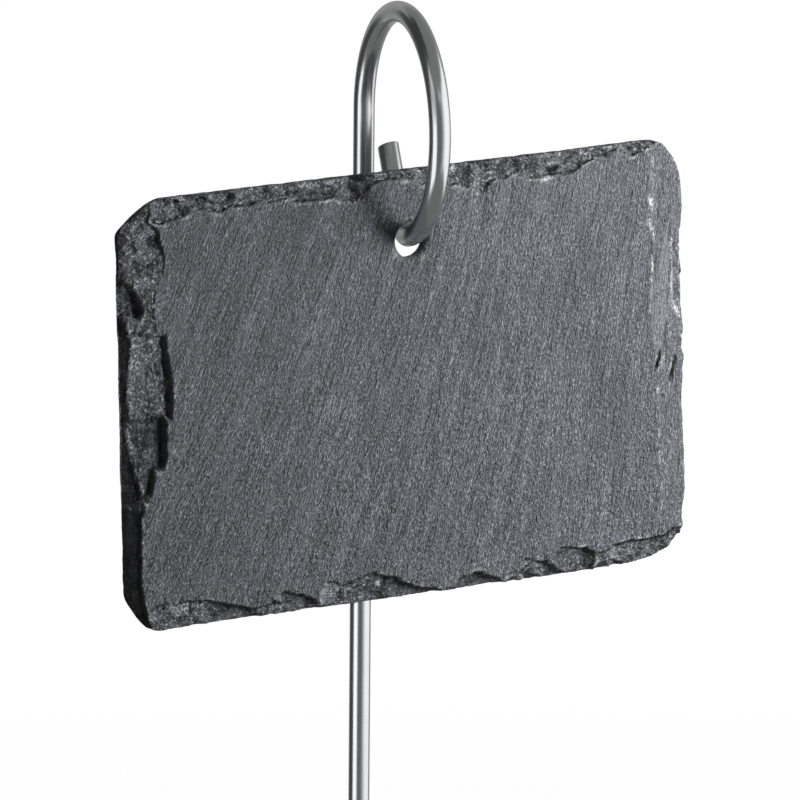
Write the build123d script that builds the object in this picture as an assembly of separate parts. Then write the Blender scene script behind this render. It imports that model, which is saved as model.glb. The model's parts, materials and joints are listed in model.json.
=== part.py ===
from build123d import *
import os
from math import atan2, cos, degrees, radians, sin, sqrt

# Plant label stake: a slate plate hung by its drilled hole on the hook of a bent steel wire.
# Millimetres. The straight shank of the wire is the Z axis and the soil line is Z = 0.
# The loop lies in the YZ plane, in front of the shank, towards -Y.

# Wire stake
wire_diameter = 5.0
overall_height = 420.0
buried_depth = 130.0
point_length = 12.0
point_tip_diameter = 1.0
loop_diameter = 52.0
loop_sweep = 258.0
hook_radius = 4.5
hook_sweep = 72.0
tail_length = 20.2
tail_edge_break = 0.4
tail_bevel_width = 2.0
tail_bevel_height = 1.6

# Slate plate
plate_width = 150.0
plate_height = 100.0
plate_thickness = 3.6
edge_bevel_width = 5.0
edge_bevel_depth = 2.2
top_left_cut_width = 9.5
top_left_cut_height = 7.0
top_right_round = 9.0
bottom_right_cut_width = 13.0
bottom_right_cut_height = 4.5
bottom_right_round = 6.0
bottom_left_cut_width = 6.0
bottom_left_cut_height = 8.0
bottom_left_round = 5.0
hole_diameter = 8.4
hole_below_top = 16.4
hole_right_of_middle = 1.3

# How the plate hangs
hang_gap = 0.4
plate_swivel = 10.0

# Worked out from the sizes above
wire_radius = wire_diameter / 2
loop_radius = loop_diameter / 2
hole_radius = hole_diameter / 2
loop_height = overall_height - buried_depth - loop_radius - wire_radius


class Bend:
    """A bend of the wire in the loop's plane, by its centre, its radius and the angles it runs between.

    Forward is the distance in front of the shank, and angles are counted from the shank over the top.
    """

    def __init__(self, forward, height, radius, start, sweep):
        self.forward = forward
        self.height = height
        self.radius = radius
        self.start = start
        self.end = start + sweep

    def at(self, angle, radius):
        """A point at an angle of the bend, as its distance in front of the shank and its height."""
        turn = radians(angle)
        return self.forward - radius * cos(turn), self.height + radius * sin(turn)

    def bottom(self, forward, radius):
        """The height of the lower half of a circle about the bend's centre."""
        return self.height - sqrt(radius**2 - (forward - self.forward) ** 2)


loop = Bend(loop_radius, loop_height, loop_radius, 0, loop_sweep)
hook_forward, hook_height = loop.at(loop.end, loop_radius - hook_radius)
hook = Bend(hook_forward, hook_height, hook_radius, loop.end, hook_sweep)


def wire_top(forward):
    """The height of the wire's upper surface in the hook, where the plate's hole rests on it."""
    hook_front, _ = hook.at(hook.start, hook_radius - wire_radius)
    hook_back, hook_back_height = hook.at(hook.end, hook_radius - wire_radius)
    if forward >= hook_front:
        return loop.bottom(forward, loop_radius - wire_radius)
    if forward >= hook_back:
        return hook.bottom(forward, hook_radius - wire_radius)
    return hook_back_height + (forward - hook_back) / sin(radians(hook.end)) * cos(radians(hook.end))


def hanging_place():
    """The distance in front of the shank where the hole's two rims rest at one height, and that height."""
    halvings = 60
    across = plate_thickness / cos(radians(plate_swivel))
    low = hook.forward - across
    high = hook.forward
    for _ in range(halvings):
        back = (low + high) / 2
        if wire_top(back) > wire_top(back + across):
            low = back
        else:
            high = back
    return back + across / 2, wire_top(back)


plate_forward, rest_height = hanging_place()
pivot_height = hook.bottom(plate_forward, hook_radius)
hole_below_pivot = pivot_height + hole_radius - rest_height - hang_gap


def bent_wire(bend):
    """A length of wire turned round a bend."""
    section = Plane(origin=(0, -bend.forward + bend.radius, bend.height)) * Circle(wire_radius)
    axis = Axis((0, -bend.forward, bend.height), (1, 0, 0))
    return revolve(section, axis, bend.end - bend.start).rotate(axis, bend.start)


def wire_stake():
    """The pointed shank, the loop, the hook and the cut tail, as one length of wire."""
    above_ends = (Align.CENTER, Align.CENTER, Align.MIN)
    point_height = point_length - buried_depth
    shank = Pos(0, 0, point_height) * Cylinder(wire_radius, loop_height - point_height, align=above_ends)
    point = Pos(0, 0, -buried_depth) * Cone(
        point_tip_diameter / 2, wire_radius, point_length, align=above_ends
    )
    tail = Cylinder(wire_radius, tail_length, align=above_ends)
    tail = chamfer(tail.edges().sort_by(Axis.Z)[-1], tail_edge_break)
    bevel_turn = degrees(atan2(tail_bevel_height, tail_bevel_width))
    bevel_size = 2 * wire_diameter
    bevel = Rot(Y=-bevel_turn) * Box(bevel_size, bevel_size, bevel_size, align=above_ends)
    tail -= Pos(-wire_radius, 0, tail_length - tail_bevel_height) * bevel
    tail_forward, tail_height = hook.at(hook.end, hook_radius)
    tail = Pos(0, -tail_forward, tail_height) * Rot(X=hook.end) * tail
    return point + shank + bent_wire(loop) + bent_wire(hook) + tail


def plate_outline():
    """The plate's outline about its pivot, seen from the front."""
    left = -plate_width / 2 - hole_right_of_middle
    right = left + plate_width
    top = hole_below_top - hole_below_pivot
    bottom = top - plate_height
    corners = [
        (left + top_left_cut_width, top),
        (right, top),
        (right, bottom + bottom_right_cut_height),
        (right - bottom_right_cut_width, bottom),
        (left + bottom_left_cut_width, bottom),
        (left, bottom + bottom_left_cut_height),
        (left, top - top_left_cut_height),
    ]
    rounds = {
        1: top_right_round,
        2: bottom_right_round,
        3: bottom_right_round,
        4: bottom_left_round,
        5: bottom_left_round,
    }
    outline = make_face(Polyline(*corners, close=True))
    for corner, radius in rounds.items():
        nearest = outline.vertices().sort_by_distance(corners[corner])[0]
        outline = fillet(nearest, radius)
    return outline


def slate_plate():
    """The slate with its dressed front edge and its hole, hung so that its weight is plumb below the wire."""
    front = Plane.XZ.offset(plate_thickness / 2)
    plate = extrude(front * plate_outline(), -plate_thickness)
    front_face = plate.faces().sort_by(Axis.Y)[0]
    plate = chamfer(front_face.edges(), edge_bevel_width, edge_bevel_depth, reference=front_face)
    hole = Rot(X=90) * Cylinder(hole_radius, 2 * plate_thickness)
    plate -= Pos(0, 0, -hole_below_pivot) * hole
    weight = plate.center(CenterOf.MASS)
    level = degrees(atan2(weight.X, -weight.Z))
    return Pos(0, -plate_forward, pivot_height) * Rot(Z=plate_swivel) * Rot(Y=level) * plate


os.makedirs("parts", exist_ok=True)
export_step(wire_stake(), "parts/wire_stake.step")
export_step(slate_plate(), "parts/slate_plate.step")
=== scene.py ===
import json
import math

import bmesh
import bpy
from bpy.props import FloatProperty, FloatVectorProperty, IntProperty, PointerProperty
from mathutils import Matrix, Vector, kdtree, noise


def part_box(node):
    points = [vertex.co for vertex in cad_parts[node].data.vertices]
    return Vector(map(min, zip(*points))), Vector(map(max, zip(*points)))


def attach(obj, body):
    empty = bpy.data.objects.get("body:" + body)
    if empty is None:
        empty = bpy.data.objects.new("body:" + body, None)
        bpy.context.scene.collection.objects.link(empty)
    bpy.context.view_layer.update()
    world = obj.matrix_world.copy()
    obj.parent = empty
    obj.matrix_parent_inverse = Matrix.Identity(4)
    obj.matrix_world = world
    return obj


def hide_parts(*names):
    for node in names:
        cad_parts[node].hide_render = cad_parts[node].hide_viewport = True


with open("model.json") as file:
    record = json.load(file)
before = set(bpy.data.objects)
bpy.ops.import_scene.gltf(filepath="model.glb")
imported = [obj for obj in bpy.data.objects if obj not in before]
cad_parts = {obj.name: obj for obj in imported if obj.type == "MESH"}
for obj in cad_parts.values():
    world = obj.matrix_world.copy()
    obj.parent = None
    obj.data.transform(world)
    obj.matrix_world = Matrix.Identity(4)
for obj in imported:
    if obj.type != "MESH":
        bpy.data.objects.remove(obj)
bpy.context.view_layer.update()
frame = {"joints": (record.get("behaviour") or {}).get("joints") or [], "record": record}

# Plant label stake: a riven slate plate hung by its hole on the hook of a bent stainless wire.
# The wire's straight shank is the Z axis, the soil line is Z = 0, and the plate faces -Y.
# Shapes are worked out in millimetres and turned to metres as they take their place.

bl_info = {
    "name": "Plant label stake",
    "version": (1, 0, 0),
    "blender": (4, 5, 0),
    "location": "View3D > Sidebar > Plant label",
    "description": "Bends the wire stake, rives the slate plate and sets them in a white studio",
    "category": "Object",
}

MM = 0.001

sway = frame["joints"][0]
pivot = Vector(sway["pos_m"])
facing = Vector(sway["axis"])
wire_low, wire_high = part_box("wire_stake")
shank = frame["record"]["mounts"][0]["dims"]


def linear(hex_colour):
    """An sRGB hex colour as linear red, green and blue."""
    values = [int(hex_colour[i:i + 2], 16) / 255 for i in (0, 2, 4)]
    return tuple(v / 12.92 if v <= 0.04045 else ((v + 0.055) / 1.055) ** 2.4 for v in values)


def length(name, description, default):
    """A length that a user can change, in metres."""
    return FloatProperty(
        name=name, description=description, default=default, precision=5, unit="LENGTH", subtype="DISTANCE"
    )


def angle(name, description, default):
    """An angle that a user can change, given in degrees and kept in radians."""
    return FloatProperty(
        name=name, description=description, default=math.radians(default), unit="ROTATION", subtype="ANGLE"
    )


def colour(name, description, hex_colour):
    """A colour that a user can change."""
    return FloatVectorProperty(
        name=name, description=description, default=linear(hex_colour), size=3, min=0, max=1, subtype="COLOR"
    )


class WireSettings(bpy.types.PropertyGroup):
    """Sizes and colours of the bent wire."""

    diameter: length("Diameter", "Thickness of the wire", 2 * shank["r_mm"] * MM)
    point: length("Point", "Length of the ground point", 0.012)
    tip: length("Tip", "Diameter of the blunted tip", 0.001)
    loop: length("Loop", "Diameter of the loop at the wire's middle", 0.05198)
    loop_sweep: angle("Loop sweep", "How far the wire runs round the loop", 258)
    hook: length("Hook", "Radius of the hook at the wire's middle", 0.0045)
    hook_sweep: angle("Hook sweep", "How far the wire runs round the hook", 72)
    tail: length("Tail", "Length of the straight tail behind the plate", 0.0199)
    cut_width: length("Cut width", "How far the shear's bevel reaches over the tail's end", 0.005)
    cut_height: length("Cut height", "How far the shear's bevel reaches down the tail", 0.0006)
    sides: IntProperty(name="Sides", description="Facets round the wire", default=56, min=12)
    steel: colour("Steel", "Colour of the drawn steel", "dbdcdd")
    steel_dark: colour("Dark steel", "Colour in the drawing lines", "c1c2c3")


class SlateSettings(bpy.types.PropertyGroup):
    """Sizes and colours of the slate plate."""

    width: length("Width", "Width of the plate", 0.150)
    height: length("Height", "Height of the plate", 0.100)
    thickness: length("Thickness", "Thickness of the plate", 0.0036)
    hole: length("Hole", "Diameter of the drilled hole", 0.0084)
    hole_below_top: length("Hole below top", "From the top edge to the hole's middle", 0.0164)
    hole_off_middle: length("Hole off middle", "How far the hole is right of the plate's middle", 0.0013)
    hole_below_pivot: length("Hole below wire", "From the wire's middle down to the hole's middle", 0.0008)
    tilt: angle("Tilt", "How the plate's weight turns it on the wire", -2.1)
    fine: length("Fine mesh", "Mesh spacing along the dressed edge", 0.00028)
    coarse: length("Coarse mesh", "Mesh spacing over the riven face", 0.00095)
    seed: IntProperty(name="Seed", description="Which way the chips of the breaks lean", default=2, min=1)
    stone: colour("Slate", "Colour of the riven face", "5b5c62")
    stone_dark: colour("Dark slate", "Colour in the grain's hollows", "34353a")
    # Painted shade: the colour that breaks and the left wall are darkened towards.
    stone_painted_shade: colour("Deep slate", "Colour at the bottom of the breaks", "131416")
    stone_pale: colour("Pale slate", "Colour of the mica along the grain", "b2b3ba")
    # Also the colour of the painted highlight along the lips of deep breaks.
    scuff: colour("Scuff", "Colour of the bruised marks left by dressing", "d6d7d9")


class StudioSettings(bpy.types.PropertyGroup):
    """Camera, light and floor."""

    azimuth: angle("Azimuth", "How far the camera stands to the right of the front", -19.82)
    elevation: angle("Elevation", "How far the camera stands above the horizon", 10)
    roll: angle("Roll", "How far the camera is turned about its own axis", -0.48)
    distance: length("Distance", "From the camera to the plane of the aim", 2.105)
    lens: FloatProperty(
        name="Lens", description="Focal length in millimetres", default=405, subtype="DISTANCE_CAMERA"
    )
    aim_right: length("Aim right", "How far the aim lies right of the loop's middle", 0.00897)
    aim_below: length("Aim below", "How far the aim lies below the loop's middle", 0.0681)
    floor: colour("Floor", "Colour of the floor", "8c8c8c")


# A Mix node has sockets of its own for values and for colours.
VALUE_A, VALUE_B, COLOUR_A, COLOUR_B = 2, 3, 6, 7
OF_COLOURS = {"out": 2, "data_type": "RGBA"}


def add(tree, kind, inputs=None, out=0, **settings):
    """Adds a node with its settings and its inputs, values or links, and returns one of its outputs."""
    node = tree.nodes.new("ShaderNode" + kind)
    for name, value in settings.items():
        setattr(node, name, value)
    for socket, value in (inputs or {}).items():
        if isinstance(value, bpy.types.NodeSocket):
            tree.links.new(value, node.inputs[socket])
        else:
            node.inputs[socket].default_value = value
    return node.outputs[out] if node.outputs else None


def new_material(name):
    """A material with an empty node tree."""
    material = bpy.data.materials.new(name)
    material.use_nodes = True
    material.node_tree.nodes.clear()
    return material, material.node_tree


def new_piece(name, bm, material, crease=math.pi):
    """Turns a bmesh into an object at the origin, smooth apart from edges sharper than a crease."""
    bmesh.ops.recalc_face_normals(bm, faces=bm.faces[:])
    mesh = bpy.data.meshes.new(name)
    bm.to_mesh(mesh)
    bm.free()
    mesh.shade_smooth()
    mesh.set_sharp_from_angle(angle=crease)
    mesh.materials.append(material)
    piece = bpy.data.objects.new(name, mesh)
    bpy.context.scene.collection.objects.link(piece)
    return piece


def smooth_step(low, high, value):
    """0 below low, 1 above high and a smooth rise between."""
    share = min(max((value - low) / (high - low), 0), 1)
    return share * share * (3 - 2 * share)


# Wire stake


def steel_material(wire):
    """Stainless steel, drawn through a die and left satin."""
    # The eye gets soft bands of light that run along the wire, broken up by fine drawing lines.
    material, tree = new_material("drawn_stainless_steel")
    straight = add(tree, "Attribute", out="Vector", attribute_name="straight")
    # Drawing lines are about 0.05 mm apart, and are drawn 0.3 mm apart so that they show. Handling marks are
    # patches a few millimetres long, duller than the rest.
    patterns = []
    for width, run, detail in ((0.3, 30, 3), (3, 9, 4)):
        spot = add(tree, "Mapping", {"Vector": straight, "Scale": (1 / width, 1 / width, 1 / run)})
        patterns.append(
            add(tree, "TexNoise", {"Vector": spot, "Scale": 1, "Detail": detail, "Roughness": 0.6}, out="Fac")
        )
    lines, marks = patterns
    tints = {COLOUR_A: (*wire.steel_dark, 1), COLOUR_B: (*wire.steel, 1)}
    tone = add(tree, "Mix", {0: lines, **tints}, **OF_COLOURS)
    mixed = add(tree, "Math", {0: lines, 1: marks}, operation="ADD")
    satin = add(
        tree, "MapRange", {"Value": mixed, "From Min": 0.7, "From Max": 1.3, "To Min": 0.20, "To Max": 0.27}
    )
    relief = add(tree, "Bump", {"Height": lines, "Strength": 0.12, "Distance": 0.02 * MM})
    shader = add(
        tree, "BsdfPrincipled", {"Base Color": tone, "Metallic": 1, "Roughness": satin, "Normal": relief}
    )
    add(tree, "OutputMaterial", {"Surface": shader})
    return material


def verts_of(parts):
    """The points among the parts that a step made."""
    return [part for part in parts if isinstance(part, bmesh.types.BMVert)]


def edges_of(parts):
    """The edges among the parts that a step made."""
    return [part for part in parts if isinstance(part, bmesh.types.BMEdge)]


class WireRun:
    """A wire that grows ring by ring, and keeps for each point where it lay while the wire was straight."""

    def __init__(self, radius, sides, height):
        self.bm = bmesh.new()
        self.straight = self.bm.verts.layers.float_vector.new("straight")
        self.sides = sides
        self.run = 0
        start = Matrix.Translation((0, 0, height))
        bmesh.ops.create_circle(self.bm, segments=sides, radius=radius, matrix=start)
        self.ring = self.bm.edges[:]
        for vert in self.bm.verts:
            vert[self.straight] = (vert.co.x, vert.co.y, 0)

    def draw(self, step):
        """Draws the wire on by a straight step, and returns the new ring's points."""
        made = bmesh.ops.extrude_edge_only(self.bm, edges=self.ring)["geom"]
        verts = verts_of(made)
        bmesh.ops.translate(self.bm, verts=verts, vec=step)
        self.ring = [edge for edge in edges_of(made) if all(vert in verts for vert in edge.verts)]
        self.run += step.length
        for vert in verts:
            vert[self.straight] = (*vert[self.straight][:2], self.run)
        return verts

    def bend(self, centre, radius, sweep, steps):
        """Bends the wire on round a centre, in the loop's plane."""
        count = len(self.bm.verts)
        ring_verts = list(dict.fromkeys(vert for edge in self.ring for vert in edge.verts))
        made = bmesh.ops.spin(
            self.bm, geom=ring_verts + self.ring, cent=centre, axis=(1, 0, 0), angle=sweep, steps=steps
        )["geom_last"]
        self.ring = edges_of(made)
        self.bm.verts.ensure_lookup_table()
        for number, vert in enumerate(self.bm.verts[count:]):
            step = number // self.sides + 1
            vert[self.straight] = (*vert[self.straight][:2], self.run + radius * sweep * step / steps)
        self.run += radius * sweep


class PLANT_LABEL_OT_bend_wire_stake(bpy.types.Operator):
    """Draw the pointed shank and bend its loop, hook and tail."""

    bl_idname = "plant_label.bend_wire_stake"
    bl_label = "Bend wire stake"

    def execute(self, context):
        wire = context.scene.plant_label_wire
        # The mesh keeps a hair inside the solid that it stands for.
        margin = 0.01
        loop_steps, hook_steps = 128, 40
        burr_angle, burr_round, crease = math.radians(25), 0.25, math.radians(40)
        radius = wire.diameter / MM / 2 - margin
        loop_radius = wire.loop / MM / 2
        hook_radius = wire.hook / MM
        point = wire.point / MM
        loop_height = wire_high.z / MM - margin - loop_radius - radius
        foot = wire_low.z / MM + margin
        loop_centre = Vector((0, -loop_radius, loop_height))
        loop_end = wire.loop_sweep
        inward = loop_radius - hook_radius
        hook_centre = loop_centre + Vector((0, inward * math.cos(loop_end), inward * math.sin(loop_end)))
        tail_turn = loop_end + wire.hook_sweep
        tail_way = Vector((0, -math.sin(tail_turn), math.cos(tail_turn)))

        stake = WireRun(radius, wire.sides, foot + point)
        neck = stake.ring
        tip = stake.draw(Vector((0, 0, -point)))
        bmesh.ops.scale(
            stake.bm,
            vec=(wire.tip / wire.diameter, wire.tip / wire.diameter, 1),
            space=Matrix.Translation((0, 0, -foot)),
            verts=tip,
        )
        bmesh.ops.holes_fill(stake.bm, edges=stake.ring)
        stake.ring = neck
        stake.run = 0
        stake.draw(Vector((0, 0, loop_height - foot - point)))
        stake.bend(loop_centre, loop_radius, wire.loop_sweep, loop_steps)
        stake.bend(hook_centre, hook_radius, wire.hook_sweep, hook_steps)
        end = stake.draw(tail_way * wire.tail / MM)
        tail_faces = list(dict.fromkeys(face for vert in end for face in vert.link_faces))
        tail_faces += bmesh.ops.holes_fill(stake.bm, edges=stake.ring)["faces"]
        rims = dict.fromkeys(part for face in tail_faces for part in (*face.verts, *face.edges))
        tail = [*rims, *tail_faces]
        end_middle = sum((vert.co for vert in end), Vector()) / len(end)
        slope = wire.cut_height / wire.cut_width
        cut = bmesh.ops.bisect_plane(
            stake.bm,
            geom=tail,
            plane_co=end_middle - tail_way * wire.cut_height / MM - Vector((radius, 0, 0)),
            plane_no=tail_way - Vector((slope, 0, 0)),
            clear_outer=True,
        )["geom_cut"]
        bmesh.ops.holes_fill(stake.bm, edges=edges_of(cut))
        inner_edges = [edge for edge in stake.bm.edges if edge.is_manifold]
        bmesh.ops.bevel(
            stake.bm,
            geom=[edge for edge in inner_edges if edge.calc_face_angle() > burr_angle],
            offset=burr_round,
            segments=3,
            profile=0.5,
            affect="EDGES",
            material=-1,
            clamp_overlap=True,
        )
        bmesh.ops.scale(stake.bm, vec=(MM, MM, MM), verts=stake.bm.verts[:])
        piece = new_piece("bent_wire", stake.bm, steel_material(wire), crease)
        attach(piece, "stake")
        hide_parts("wire_stake")
        return {"FINISHED"}


# Slate plate

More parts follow.
